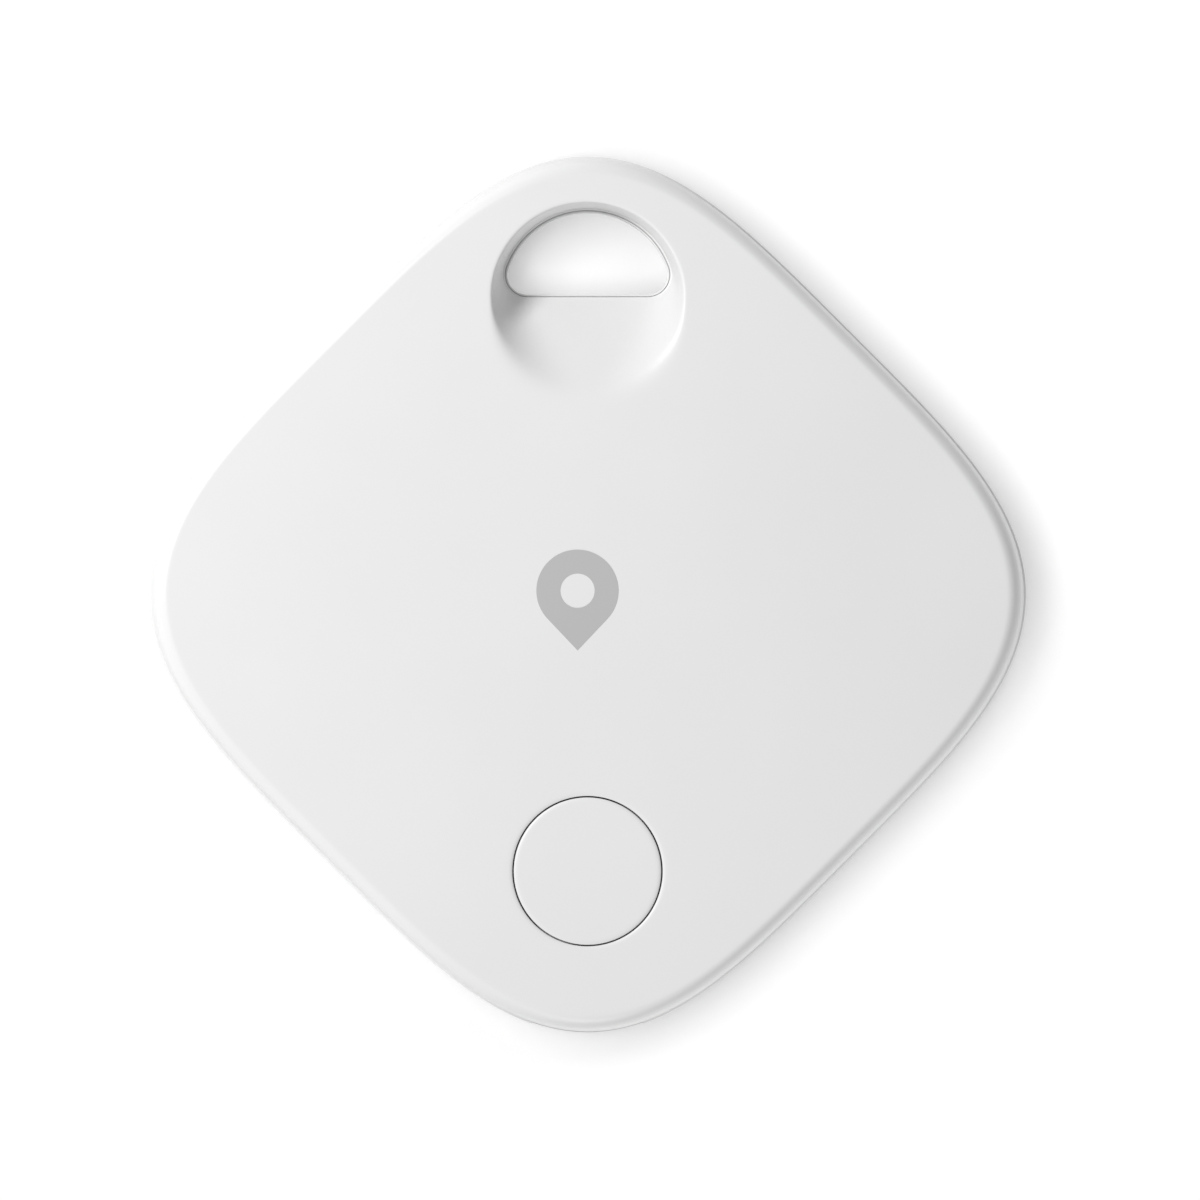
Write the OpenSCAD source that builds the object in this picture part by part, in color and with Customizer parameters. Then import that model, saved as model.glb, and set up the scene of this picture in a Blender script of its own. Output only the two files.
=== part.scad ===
// Round-cornered square tracker tag with a key-ring hole, a press button and a 20 mm coin cell.
// It lies on its rear face. +Z points out of the front, +Y runs from the button to the key-ring hole.

/* [Body shape] */
// Width across two opposite flat sides
flat_w = 40; // [40:0.5:42]
// Overall thickness at the middle
case_h = 8; // [8:0.1:8.4]
// Exponent of the outline: 2 is a circle, a larger one is a squarer square
squareness = 3.8; // [3.4:0.1:4.4]
// How much lower the front is at its edge than at its middle
dome_h = 0.7; // [0.5:0.1:0.8]
// Width of the rounded front edge
edge_w = 0.65; // [0.5:0.05:1]
// Height of the rounded front edge
edge_h = 1; // [0.8:0.1:1.4]
// How far the front cover's side leans in
side_lean = 0.25; // [0.1:0.05:0.3]
// Height of the joint between the two covers
split_z = 3; // [2.8:0.1:3.1]
// Thickness of the rear cover's floor
floor_t = 0.9; // [0.8:0.05:0.9]

/* [Key-ring hole] */
// Distance of the dish's centre from the case's centre
dish_y = 15.9; // [15.7:0.1:16]
// Radius of the dish's rim
dish_r = 5.25; // [5.1:0.05:5.3]
// Radius of the D-shaped hole's arc
hole_r = 4.65; // [4.5:0.05:4.7]
// Radius of the D-shaped hole's two corners
hole_corner_r = 1.2; // [1:0.1:1.5]

/* [Button] */
// Distance of the button from the case's centre
button_y = 14.8; // [14.6:0.1:15]
// Radius of the button
button_r = 3.95; // [3.8:0.05:4]
// Gap round the button
button_gap = 0.1; // [0.08:0.01:0.15]
// Button travel
button_travel = 0.2; // [0.15:0.05:0.25]

/* [Coin cell] */
// Diameter of the coin cell
cell_d = 20; // [20:0.1:20]
// Thickness of the coin cell
cell_t = 3.2; // [3.2:0.1:3.2]
// Distance of the cell's axis below the case's centre
cell_y = 1.6; // [1.4:0.1:1.8]

/* [Circuit board] */
// Thickness of the circuit board
board_t = 0.8; // [0.7:0.1:0.8]
// Half-width of the circuit board across its flats
board_half_w = 18.4; // [18:0.1:18.5]

/* [Buzzer] */
// Diameter of the buzzer's brass plate
buzzer_d = 15; // [14:0.5:15]
// Diameter of the buzzer's ceramic disc
ceramic_d = 11; // [10:0.5:11]

/* [Hidden] */
$fn = 96;

outline_points = 72;
half_w = flat_w / 2;
corner_reach = half_w * pow(2, 0.5 - 1 / squareness); // centre to a rounded corner
eps = 0.01;

// Covers
joint_gap = 0.02; // the covers' rims stop this far apart
groove_w = 0.3; // V groove along the joint
groove_h = 0.15;
front_rim_z = split_z + joint_gap;
front_rim_w = 0.8; // front cover's wall beside the rear cover's lip
front_wall = 1.1;
lip_gap = 0.1;
lip_t = 0.6;
lip_h = 1.1;
lip_half_w = half_w - front_rim_w - lip_gap; // outside of the lip
edge_half_w = half_w - side_lean - edge_w; // where the rounded edge meets the dome
edge_z = dome_z(edge_half_w) - edge_h;
ceiling_z = case_h - 1.05;
ceiling_half_w = 12; // the ceiling is flat this far out
skin = 0.4; // the solid fillings stop this far under the outer skin
rear_edge = 1.3; // rounded rear edge, along the floor
bead_l = 3;
bead_out = 0.04; // snap beads, within the lip's gap
bead_y = 2.5; // two beads on each flat side, this far from its middle
notch_w = 6; // coin notch at the button's end
notch_h = 0.7;
notch_d = 0.95;

// Key-ring hole
hole_y = dish_y + 0.1; // the D's straight side
hole_lip = 1.9; // upright edge of the hole under the dish
rear_hole_step = 0.05; // the rear cover's hole is this much smaller all round
ring_wall = 0.95;
dish_step = 0.1; // ledge between the dish's wall and the hole
dish_foot_z = split_z + hole_lip;
dish_rim_z = dome_z(9); // about where the dish meets the front
ramp_top_y = dish_y - dish_r; // where the ramp meets the front
rear_flare_y = 1.6; // the rear of the hole opens this much towards the middle
rear_flare_r = 0.5;
rear_flare_z = split_z - 0.7;

// Stack, from the rear floor up
pad_t = 0.15;
cell_z = floor_t + pad_t + 0.05;
cell_r = cell_d / 2;
contact_room = 0.3;
board_z = cell_z + cell_t + contact_room;
board_top = board_z + board_t;
board_trim_y = 13.4;

// Tray and screws
tray_r = cell_r + 0.15; // inside of the ring
tray_wall = 0.95;
tray_z = 1.6;
ear_x = 15.4;
ear_r = 2.3;
ear_t = 1.2;
screw_r = 0.7;
screw_head_r = 1.25;
screw_head_h = 0.6;
screw_l = 3;
boss_r = 1.7;
pin_r = 0.5;
pins = [[-7.5, -12.5], [7.5, -12.5]];
contact_angles = [52, 128]; // the positive contacts, round the cell
contact_w = 2.6;
contact_slot_r = cell_r + 1; // the tray's slots reach this far out
rib_r = cell_r + 0.25; // inside of the low rib on the rear floor
rib_t = 0.6;

// Button and its switch
seat_z = 6.6; // flat face that the button's flange rests against
flange_r = 4.6;
flange_t = 0.4;
collar_r = 5.4;
collar_z = 5.95;
cap_skirt_r = 3.2; // inside of the button's skirt
cap_roof_z = 6.95;
switch_w = 4;
switch_d = 3;
switch_h = 0.65;
pocket_r = 1.3;
pocket_z = board_top + 0.3;
plunger_r = 0.75;
plunger_z = board_top + 0.6;
frame_z = board_top + 0.72;
frame_t = 0.1;
plunger_top = frame_z + frame_t + button_travel;
post_r = 0.9; // under the cap, over the plunger

// Buzzer
tape_t = 0.1;
plate_t = 0.15;
ceramic_t = 0.15;
plate_z = ceiling_z - tape_t - plate_t;
ceramic_z = plate_z - ceramic_t;
leaf_t = 0.12;

// Chips: centre, turn, size
radio_spec = [[-5.4, -4.6], 0, [5, 5, 0.85]];
motion_spec = [[5, -8], 0, [2, 2, 0.9]];
crystal_spec = [[-10.4, -4.6], 90, [2, 1.6, 0.5]];
clock_spec = [[-5.2, -9.2], 0, [3.2, 1.5, 0.8]];
coil_spec = [[9.6, 3.4], 0, [3, 3, 1]];
antenna_spec = [[-11.6, 6.6], 45, [3.2, 1.6, 1]];
capacitor_size = [1, 0.5, 0.5];
resistor_size = [1, 0.5, 0.35];
capacitors = [[[-9.2, -1], 0], [[-7.4, -1], 0], [[-3.2, -0.8], 90], [[-1.8, -2.4], 90], [[-1.8, -4.2], 90],
              [[-1.8, -6], 90], [[-10.4, -7], 0], [[-8.9, 4.2], 45], [[-9.9, 3.2], 45], [[9.6, 0.6], 0],
              [[11.6, 0.6], 0], [[7, -5.6], 0], [[3, -6.2], 0], [[12.2, -3.6], 90]];
resistors = [[[-12.8, -1.6], 90], [[-12.8, -4], 90], [[6.6, 5.6], 0], [[4.6, 7], 0], [[9.2, -5], 90],
             [[10.6, -5], 90], [[3.6, -10.4], 45], [[12.6, 3.4], 90]];
// Springs under the buzzer: place, turn, height of the tip
springs = [[[0.6, 0.4], 200, ceramic_z], [[5.6, 3.2], 30, plate_z]];

// Outline and solids that follow it

function reach(a) =
    pow(pow(abs(cos(a + 45)), squareness) + pow(abs(sin(a + 45)), squareness), -1 / squareness);

function outline(h) =
    [for (i = [0 : outline_points - 1]) let (a = 360 * i / outline_points) h * reach(a) * [cos(a), sin(a)]];

function dome_z(h) = case_h - dome_h * pow(h / half_w, 2);

// One closed skin through a list of [half-width, height] rings, capped at its first and last ring.
module loft(rings) {
    n = outline_points;
    last = len(rings) - 1;
    polyhedron(
        points = [for (r = rings) for (p = outline(r[0])) [p.x, p.y, r[1]]],
        faces = concat(
            [[for (i = [0 : n - 1]) i]],
            [for (k = [0 : last - 1]) for (i = [0 : n - 1]) let (j = (i + 1) % n)
                [k * n + i, (k + 1) * n + i, (k + 1) * n + j, k * n + j]],
            [[for (i = [n - 1 : -1 : 0]) last * n + i]]));
}

// A prism along X whose section is given as [y, z] points.
module prism_x(points, w) {
    rotate([90, 0, 90])
        linear_extrude(w, center = true) polygon(points);
}

function left_of(v) = [-v.y, v.x] / norm(v);

function side_point(path, i, d) =
    let (before = left_of(i > 0 ? path[i] - path[i - 1] : path[1] - path[0]),
         after = left_of(i < len(path) - 1 ? path[i + 1] - path[i] : path[i] - path[i - 1]))
    path[i] + d * (before + after) / (1 + before * after);

// A bent metal strip: path is its middle line as [x, z] points.
module strip(path, t, w) {
    n = len(path);
    translate([0, w / 2, 0])
        rotate([90, 0, 0])
            linear_extrude(w)
                polygon(concat(
                    [for (i = [0 : n - 1]) side_point(path, i, t / 2)],
                    [for (i = [n - 1 : -1 : 0]) side_point(path, i, -t / 2)]));
}

module at_cell() {
    translate([0, -cell_y, 0]) children();
}

module at_button() {
    translate([0, -button_y, 0]) children();
}

module at_screws() {
    for (side = [-1, 1]) translate([side * ear_x, -cell_y, 0]) children();
}

// Profiles of the two covers, as [half-width, height] rings

front_inside = [
    [ceiling_half_w, ceiling_z],
    [half_w - 2.4, ceiling_z - 0.45],
    [half_w - 1.45, ceiling_z - 0.95],
    [half_w - front_wall, split_z + lip_h + 0.6],
    [half_w - front_rim_w, split_z + lip_h + 0.2],
    [half_w - front_rim_w, front_rim_z]];

front_outside = concat(
    [[half_w - groove_w, front_rim_z], [half_w, front_rim_z + groove_h]],
    [for (a = [0 : 22.5 : 90]) [edge_half_w + edge_w * cos(a), edge_z + edge_h * sin(a)]],
    [for (h = [15.5, 11.5, 7.5, 3.5, 1]) [h, dome_z(h)]]);

front_core = [
    [half_w - groove_w - 0.05, front_rim_z],
    [half_w - side_lean - skin, edge_z],
    [edge_half_w, dome_z(edge_half_w) - skin],
    [half_w / 2, dome_z(half_w / 2) - skin],
    [1, dome_z(1) - skin]];

rear_outside = concat(
    [for (a = [0 : 22.5 : 90]) [half_w - 0.15 - rear_edge + rear_edge * sin(a), 1.5 - 1.5 * cos(a)]],
    [[half_w, split_z - groove_h], [half_w - groove_w, split_z]]);

rear_inside = [
    [lip_half_w, split_z],
    [lip_half_w, split_z + lip_h - 0.2],
    [lip_half_w - 0.15, split_z + lip_h],
    [lip_half_w - lip_t, split_z + lip_h],
    [lip_half_w - lip_t, floor_t + 0.6],
    [lip_half_w - lip_t - 0.8, floor_t]];

rear_core = [
    [half_w - rear_edge, 0.3],
    [half_w - skin, 1.6],
    [half_w - groove_w - 0.05, split_z]];

// Key-ring hole

// D shape, straight side on the X axis, with its two corners rounded inside the arc.
module hole_shape(inset = 0) {
    inner = hole_r - hole_corner_r;
    corner_x = sqrt(pow(inner, 2) - pow(hole_corner_r, 2));
    touch = [corner_x, hole_corner_r] * (hole_r - inset) / inner;
    intersection() {
        circle(hole_r - inset);
        translate([-2 * hole_r, touch.y]) square([4 * hole_r, 2 * hole_r]);
    }
    for (side = [-1, 1])
        translate([side * corner_x, hole_corner_r]) circle(hole_corner_r - inset);
    polygon([[-corner_x, inset], [corner_x, inset], touch, [-touch.x, touch.y]]);
}

module hole_cut(inset = 0) {
    translate([0, hole_y, -1])
        linear_extrude(case_h + 2) hole_shape(inset);
}

// Round dish whose wall runs from a ledge round the hole up to a circle in the front.
module dish_cut() {
    hull() {
        translate([0, hole_y, dish_foot_z])
            linear_extrude(eps, $fn = 64) hole_shape(-dish_step);
        translate([0, dish_y, dish_rim_z - eps]) cylinder(h = eps, r = dish_r);
    }
    translate([0, dish_y, dish_rim_z - eps]) cylinder(h = case_h - dish_rim_z + 1, r = dish_r);
}

// Front cover's solid round the hole, down to the ramp's underside.
module dish_wall() {
    foot_z = front_rim_z;
    drop = 1.25;
    intersection() {
        loft(front_core);
        translate([0, dish_y, 0]) cylinder(h = case_h, r = dish_r + ring_wall);
        prism_x([[hole_y - drop, foot_z], [hole_y + 10, foot_z], [hole_y + 10, case_h],
                 [ramp_top_y - 2 * drop, case_h], [ramp_top_y - drop, case_h - 1.9],
                 [hole_y - drop, dish_foot_z - drop]], 4 * dish_r);
    }
}

// Rear cover's solid round the hole.
module rear_collar() {
    intersection() {
        loft(rear_core);
        translate([0, dish_y, 0]) cylinder(h = split_z, r = dish_r + ring_wall);
        translate([-dish_r * 2, hole_y - rear_flare_y - 1.2, 0]) cube([dish_r * 4, 20, split_z]);
    }
}

module rear_flare_cut() {
    side_y = hole_y + rear_hole_step;
    intersection() {
        translate([0, hole_y, -eps])
            cylinder(h = rear_flare_z, r1 = hole_r + rear_flare_r, r2 = hole_r - rear_hole_step - 0.1);
        prism_x([[side_y, rear_flare_z], [side_y - rear_flare_y, -eps], [hole_y + 10, -eps],
                 [hole_y + 10, rear_flare_z]], 4 * dish_r);
    }
}

// Covers

module front_cover() {
    color("white")
    difference() {
        union() {
            loft(concat(front_inside, front_outside));
            dish_wall();
            button_seat();
            at_screws() translate([0, 0, board_top]) cylinder(h = ceiling_z - board_top + 0.3, r = boss_r);
            for (p = pins) translate([p.x, p.y, board_z]) cylinder(h = ceiling_z - board_z, r = pin_r);
        }
        dish_cut();
        hole_cut();
        at_button() cylinder(h = case_h + 1, r = button_r + button_gap);
        at_screws() translate([0, 0, board_top - eps]) cylinder(h = 1.2, r = screw_r + 0.02);
    }
}

// Flat seat over the button's flange, and the collar that guides it.
module button_seat() {
    intersection() {
        loft(front_core);
        at_button() translate([0, 0, seat_z]) cylinder(h = case_h, r = collar_r);
    }
    at_button() translate([0, 0, collar_z])
        difference() {
            cylinder(h = seat_z - collar_z + eps, r = collar_r);
            translate([0, 0, -eps]) cylinder(h = seat_z - collar_z + eps, r = flange_r + 0.1);
        }
}

module rear_cover() {
    color("white")
    difference() {
        union() {
            difference() {
                loft(concat(rear_outside, rear_inside));
                // The lip stops at the key-ring hole.
                translate([-8, 12.5, split_z]) cube([16, 12, 3]);
            }
            rear_collar();
            cell_rib();
            snap_beads();
        }
        hole_cut(rear_hole_step);
        rear_flare_cut();
        // Coin notch
        translate([-notch_w / 2, -corner_reach - 1, split_z - notch_h])
            cube([notch_w, 1 + notch_d, notch_h + 1]);
    }
}

// Low ring on the floor round the cell's end.
module cell_rib() {
    at_cell() translate([0, 0, floor_t - 0.2])
        difference() {
            cylinder(h = 0.7, r = rib_r + rib_t);
            translate([0, 0, -1]) cylinder(h = 3, r = rib_r);
        }
}

module snap_beads() {
    for (a = [45 : 90 : 315]) for (side = [-1, 1])
        rotate(a) translate([lip_half_w - 0.2, side * bead_y - bead_l / 2, split_z + 0.45])
            cube([0.2 + bead_out, bead_l, 0.35]);
}

module battery_pad() {
    color("dimgray")
    at_cell() translate([0, 0, floor_t]) cylinder(h = pad_t, r = 8);
}

// Button

module button_cap() {
    color("white")
    difference() {
        union() {
            intersection() {
                loft(concat([[half_w - 1, seat_z - flange_t]],
                            [for (i = [3 : len(front_outside) - 1]) front_outside[i]]));
                at_button() cylinder(h = case_h, r = button_r);
            }
            at_button() translate([0, 0, seat_z - flange_t - joint_gap]) cylinder(h = flange_t, r = flange_r);
        }
        at_button() difference() {
            translate([0, 0, seat_z - 1]) cylinder(h = cap_roof_z - seat_z + 1, r = cap_skirt_r);
            translate([0, 0, plunger_top + joint_gap]) cylinder(h = 1, r = post_r);
        }
    }
}

// Coin cell, drawn from its flat positive face up

module battery_can() {
    color("silver")
    at_cell() translate([0, 0, cell_z]) rotate_extrude()
        polygon([[0, 0], [cell_r - 0.4, 0], [cell_r - 0.1, 0.12], [cell_r, 0.4], [cell_r, 2.7],
                 [cell_r - 0.15, 2.95], [cell_r - 0.6, 3.08], [cell_r - 0.65, 2.9], [cell_r - 0.25, 2.6],
                 [cell_r - 0.25, 0.5], [cell_r - 0.5, 0.25], [0, 0.25]]);
}

module battery_cap() {
    color("lightgray")
    at_cell() translate([0, 0, cell_z]) rotate_extrude()
        polygon([[0, cell_t], [cell_r - 1.5, cell_t], [cell_r - 1.25, cell_t - 0.25], [cell_r - 1, 1],
                 [cell_r - 1.25, 1], [cell_r - 1.45, cell_t - 0.4], [cell_r - 1.6, cell_t - 0.25],
                 [0, cell_t - 0.25]]);
}

module battery_gasket() {
    color("dimgray")
    at_cell() translate([0, 0, cell_z]) rotate_extrude()
        polygon([[cell_r - 0.95, 0.6], [cell_r - 0.3, 0.6], [cell_r - 0.3, 2.55], [cell_r - 0.7, 2.86],
                 [cell_r - 0.95, 3.02], [cell_r - 1.15, 2.98]]);
}

module battery_cathode() {
    color("black")
    at_cell() translate([0, 0, cell_z + 0.25]) cylinder(h = 1.65, r = cell_r - 1.5);
}

module battery_separator() {
    color("white")
    at_cell() translate([0, 0, cell_z + 1.9]) cylinder(h = 0.1, r = cell_r - 1.5);
}

module battery_lithium() {
    color("gray")
    at_cell() translate([0, 0, cell_z + 2]) cylinder(h = 0.95, r = cell_r - 1.7);
}

// Tray, contacts and board

module battery_tray() {
    color("darkslategray")
    difference() {
        union() {
            at_cell() translate([0, 0, tray_z]) cylinder(h = board_z - tray_z, r = tray_r + tray_wall);
            at_screws() translate([0, 0, board_z - ear_t]) cylinder(h = ear_t, r = ear_r);
            at_cell() translate([-ear_x, -ear_r, board_z - ear_t]) cube([2 * ear_x, 2 * ear_r, ear_t]);
            at_contacts() translate([cell_r, -contact_w / 2 - 1, tray_z])
                cube([1.9, contact_w + 2, board_z - tray_z]);
        }
        at_cell() translate([0, 0, -1]) cylinder(h = case_h, r = tray_r);
        at_screws() cylinder(h = case_h, r = screw_r + 0.05);
        // Slots for the positive contacts' blades, and shallow grooves for their feet
        at_contacts() translate([cell_r - 1, -contact_w / 2 - 0.1, 0])
            cube([contact_slot_r - cell_r + 1, contact_w + 0.2, case_h]);
        at_contacts() translate([cell_r, -contact_w / 2 - 0.1, board_z - 0.25]) cube([4, contact_w + 0.2, 1]);
        // Finger notch for lifting the cell
        at_cell() translate([-3, -cell_r - 3, 0]) cube([6, 4, board_z - ear_t]);
    }
}

module at_contacts() {
    at_cell() for (a = contact_angles) rotate(a) children();
}

module tray_screws() {
    color("silver")
    at_screws() translate([0, 0, board_z - ear_t]) difference() {
        union() {
            cylinder(h = screw_l, r = screw_r);
            translate([0, 0, -screw_head_h]) cylinder(h = screw_head_h, r = screw_head_r);
        }
        for (a = [0, 90]) rotate(a) translate([-0.7, -0.13, -screw_head_h - 1]) cube([1.4, 0.26, 1.35]);
    }
}

module positive_contacts() {
    color("gold")
    at_contacts()
        strip([[cell_r + 2.4, board_z - 0.1], [cell_r + 0.85, board_z - 0.1], [cell_r + 0.75, board_z - 0.25],
               [cell_r + 0.75, 2.1], [cell_r + 0.6, 1.9], [cell_r + 0.42, 2], [cell_r + 0.14, 3],
               [cell_r + 0.35, 3.7]], 0.2, contact_w);
}

module negative_contact() {
    color("gold")
    at_cell() translate([0, 0, board_z]) for (a = [45, 135]) rotate(a)
        strip([[-7, -0.14], [-6.2, -0.215], [-1.6, -0.075], [1.6, -0.075], [6.2, -0.215], [7, -0.14]],
              0.15, 1.6);
}

module circuit_board() {
    color("darkgreen")
    difference() {
        translate([0, 0, board_z]) linear_extrude(board_t) polygon(outline(board_half_w));
        translate([0, dish_y, 0]) cylinder(h = case_h, r = dish_r + ring_wall + 0.4);
        translate([-half_w, board_trim_y, 0]) cube([flat_w, flat_w, case_h]);
        at_screws() cylinder(h = case_h, r = screw_r + 0.1);
        for (p = pins) translate([p.x, p.y, 0]) cylinder(h = case_h, r = pin_r + 0.05);
    }
}

// Chips on the board's front

module chip(spec) {
    translate([spec[0].x, spec[0].y, board_top]) rotate(spec[1])
        translate([-spec[2].x / 2, -spec[2].y / 2, 0]) cube(spec[2]);
}

module radio_chip() {
    color("black") chip(radio_spec);
}

module motion_sensor() {
    color("black") chip(motion_spec);
}

module main_crystal() {
    color("silver") chip(crystal_spec);
}

module clock_crystal() {
    color("silver") chip(clock_spec);
}

module buzzer_coil() {
    color("dimgray") chip(coil_spec);
}

module chip_antenna() {
    color("lightblue") chip(antenna_spec);
}

module chip_capacitors() {
    color("tan") for (c = capacitors) chip([c[0], c[1], capacitor_size]);
}

module chip_resistors() {
    color("black") for (c = resistors) chip([c[0], c[1], resistor_size]);
}

// Buzzer under the front cover's ceiling

module buzzer_springs() {
    color("gold")
    for (s = springs) translate([s[0].x, s[0].y, 0]) rotate(s[1])
        let (foot = board_top + leaf_t / 2, tip = s[2] - leaf_t / 2 - 0.01)
            strip([[-1, foot], [0.7, foot], [1, foot + 0.2], [0.9, foot + 0.45], [-0.5, tip],
                   [-0.9, tip - 0.05]], leaf_t, 1);
}

module buzzer_tape() {
    color("white")
    translate([0, 0, ceiling_z - tape_t]) difference() {
        cylinder(h = tape_t, d = buzzer_d);
        translate([0, 0, -1]) cylinder(h = 3, d = ceramic_d);
    }
}

module buzzer_plate() {
    color("gold")
    translate([0, 0, plate_z]) cylinder(h = plate_t, d = buzzer_d);
}

module buzzer_ceramic() {
    color("beige")
    translate([0, 0, ceramic_z]) cylinder(h = ceramic_t, d = ceramic_d);
}

// Push switch under the button

module switch_base() {
    color("black")
    at_button() difference() {
        translate([-switch_w / 2, -switch_d / 2, board_top]) cube([switch_w, switch_d, switch_h]);
        translate([0, 0, pocket_z]) cylinder(h = 1, r = pocket_r);
    }
}

module switch_terminals() {
    color("silver")
    at_button() for (sx = [-1, 1]) for (sy = [-1, 1])
        translate([sx * (switch_w / 2 + 0.3) - 0.3, sy * (switch_d / 2 - 0.4) - 0.3, board_top])
            cube([0.6, 0.6, 0.15]);
}

module switch_dome() {
    color("silver")
    at_button() translate([0, 0, pocket_z]) rotate_extrude()
        polygon([[0, 0.22], [0.5, 0.2], [1.15, 0], [1.25, 0], [0.55, 0.27], [0, 0.29]]);
}

module switch_frame() {
    color("silver")
    at_button() difference() {
        union() {
            translate([-switch_w / 2, -switch_d / 2, frame_z]) cube([switch_w, switch_d, frame_t]);
            for (sy = [-1, 1]) translate([-1, sy * (switch_d / 2 + 0.05) - 0.05, board_top + 0.1])
                cube([2, 0.1, frame_z + frame_t - board_top - 0.1]);
        }
        cylinder(h = case_h, r = plunger_r + 0.05);
    }
}

module switch_plunger() {
    color("ivory")
    at_button() translate([0, 0, plunger_z]) {
        cylinder(h = plunger_top - plunger_z, r = plunger_r);
        cylinder(h = 0.1, r = plunger_r + 0.35);
    }
}

front_cover();
rear_cover();
button_cap();
battery_pad();
battery_tray();
tray_screws();
battery_can();
battery_cap();
battery_gasket();
battery_cathode();
battery_separator();
battery_lithium();
positive_contacts();
negative_contact();
circuit_board();
radio_chip();
motion_sensor();
main_crystal();
clock_crystal();
buzzer_coil();
chip_antenna();
chip_capacitors();
chip_resistors();
buzzer_springs();
buzzer_tape();
buzzer_plate();
buzzer_ceramic();
switch_base();
switch_terminals();
switch_dome();
switch_frame();
switch_plunger();
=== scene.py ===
import math

import bmesh
import bpy
import numpy as np
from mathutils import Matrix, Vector
from mathutils.geometry import delaunay_2d_cdt


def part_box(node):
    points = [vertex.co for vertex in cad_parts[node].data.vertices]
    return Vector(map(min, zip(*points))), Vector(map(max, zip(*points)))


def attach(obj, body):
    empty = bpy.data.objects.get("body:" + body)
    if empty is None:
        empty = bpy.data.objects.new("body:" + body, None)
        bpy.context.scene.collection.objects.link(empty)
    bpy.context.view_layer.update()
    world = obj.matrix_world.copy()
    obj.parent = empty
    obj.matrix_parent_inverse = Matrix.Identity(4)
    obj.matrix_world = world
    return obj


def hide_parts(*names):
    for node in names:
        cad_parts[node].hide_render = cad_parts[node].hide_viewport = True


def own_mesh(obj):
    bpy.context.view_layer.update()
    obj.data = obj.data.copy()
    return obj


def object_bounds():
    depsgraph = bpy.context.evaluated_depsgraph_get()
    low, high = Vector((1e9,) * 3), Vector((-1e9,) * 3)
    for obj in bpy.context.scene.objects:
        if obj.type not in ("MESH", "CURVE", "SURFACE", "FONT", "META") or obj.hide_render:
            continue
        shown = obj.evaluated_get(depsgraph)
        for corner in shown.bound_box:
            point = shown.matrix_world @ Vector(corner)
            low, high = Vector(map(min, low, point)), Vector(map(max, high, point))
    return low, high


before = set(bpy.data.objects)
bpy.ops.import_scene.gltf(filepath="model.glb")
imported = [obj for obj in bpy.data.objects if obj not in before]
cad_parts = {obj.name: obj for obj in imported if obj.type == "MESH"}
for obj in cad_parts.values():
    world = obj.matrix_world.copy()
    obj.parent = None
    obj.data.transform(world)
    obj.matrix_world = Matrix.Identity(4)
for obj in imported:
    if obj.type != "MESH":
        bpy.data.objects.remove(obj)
cad_low, cad_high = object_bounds()

# Sizes are in millimetres, in the CAD frame: +Z out of the front, +Y towards the key-ring hole.
MM = 0.001
CORNER = cad_high.x / MM  # centre to a rounded corner
SQUARENESS = 3.8
HALF = CORNER / 2 ** (0.5 - 1 / SQUARENESS)  # centre to a flat side
THICK = 8.0
DOME = 0.6  # the front is this much lower at the middle of a flat side
DOME_SINK = 0.014  # keeps the print on the dome inside the CAD height
SPLIT = 3.0  # height of the joint between the covers
RIM_Z = SPLIT + 0.02  # lowest point of the front cover
FLOOR_T = 0.9
CEILING_Z = 6.95
OUTLINE_POINTS = 360
TAG_SHARE = 0.73083  # how much of the view's width the tag fills

# Rounded front edge
EDGE_W = 0.65
EDGE_H = 1.0
SIDE_LEAN = 0.25
EDGE_HALF = HALF - SIDE_LEAN - EDGE_W

# Key-ring dish and hole
DISH_Y = 15.9
DISH_R = 5.25
DISH_RIM_Z = 7.86
DISH_BULGE = 0.35  # how far the dish's wall is lifted off a straight slope
FOOT_Z = SPLIT + 1.9  # foot of the dish's wall
HOLE_Y = 16.0
HOLE_R = 4.65
HOLE_CORNER = 1.2
HOLE_STEP = 0.1  # rounded ledge between the dish's wall and the hole
REAR_STEP = 0.12  # the rear cover's hole is this much smaller all round, at its raised rim
REAR_GAP = 0.02  # between that rim and the front cover
REAR_RIM_Z = 4.75
POLE_Y = 17.6  # the dish's rings are drawn round this point, inside the hole
DISH_WALL_R = 6.0  # outside of the moulding round the dish
DISH_SIDES = 288

# Button
BUTTON_Y = -14.8
BUTTON_R = 3.95
BUTTON_GAP = 0.08
BUTTON_EDGE_W, BUTTON_EDGE_H = 0.24, 0.08  # rounding along both sides of the gap
BUTTON_SIDES = 192
SEAT_Z = 6.6
FLANGE_Z = 6.58  # top of the button's flange, under the seat
COLLAR_R, COLLAR_Z = 5.4, 5.95

# Rear cover
BACK_HALF = HALF - 1.45  # half-width of the flat back
BACK_ROUND_W, BACK_ROUND_H = 1.3, 1.5
LIP_HALF = HALF - 0.9
FLARE_Z = 2.35  # the hole starts to widen here, towards the rear
NOTCH_HALF_W = 3.0
NOTCH_D = 0.95
NOTCH_Z = 2.3


# Shapes

def reach(angle):
    """Distance of the outline from the centre, for a half-width of 1."""
    turned = angle + math.pi / 4
    u, v = np.abs(np.cos(turned)), np.abs(np.sin(turned))
    return (u ** SQUARENESS + v ** SQUARENESS) ** (-1 / SQUARENESS)


def level(x, y):
    """Half-width of the outline that passes through a point."""
    return np.hypot(x, y) / reach(np.arctan2(y, x))


def turn(count):
    """Evenly spaced angles once round."""
    return np.linspace(0, 2 * math.pi, count, endpoint=False)


def outline(half, angles):
    r = half * reach(angles)
    return r * np.cos(angles), r * np.sin(angles)


def circle(radius, cy, count):
    a = turn(count)
    return radius * np.cos(a), cy + radius * np.sin(a)


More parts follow.
